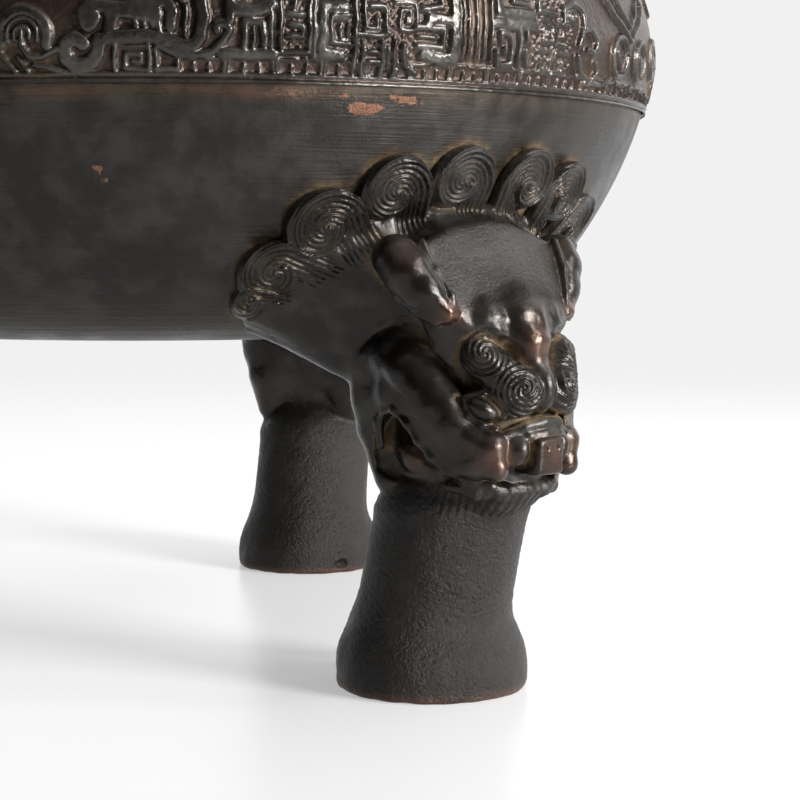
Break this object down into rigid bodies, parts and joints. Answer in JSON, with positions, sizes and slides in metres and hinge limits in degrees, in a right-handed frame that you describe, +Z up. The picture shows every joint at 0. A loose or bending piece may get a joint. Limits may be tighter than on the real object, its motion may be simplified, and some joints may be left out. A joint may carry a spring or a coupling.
{
  "type": "tripod incense burner",
  "caption": "Round bronze incense burner with a raised frieze of archaic scrolls, standing on lion-mask legs with curled manes.",
  "frame": {"origin": "on the floor under the middle of the whole burner's box, 7 mm in front of the bowl's axis", "axes": "+Z up along the bowl's axis, -Y towards the front leg, +X to the right seen from the front"},
  "size_m": [0.3, 0.3144, 0.2455],
  "materials": {
    "bowl": "cast bronze with a dark brown-black patina, polished on the raised scrolls and brushed below them",
    "leg": "cast bronze with a dark brown patina, golden-brown residue in the hollows and a rough shank"
  },
  "bodies": {
    "root": {"bowl": "bowl", "leg_front": "leg", "leg_right": "leg", "leg_left": "leg"}
  },
  "joints": []
}
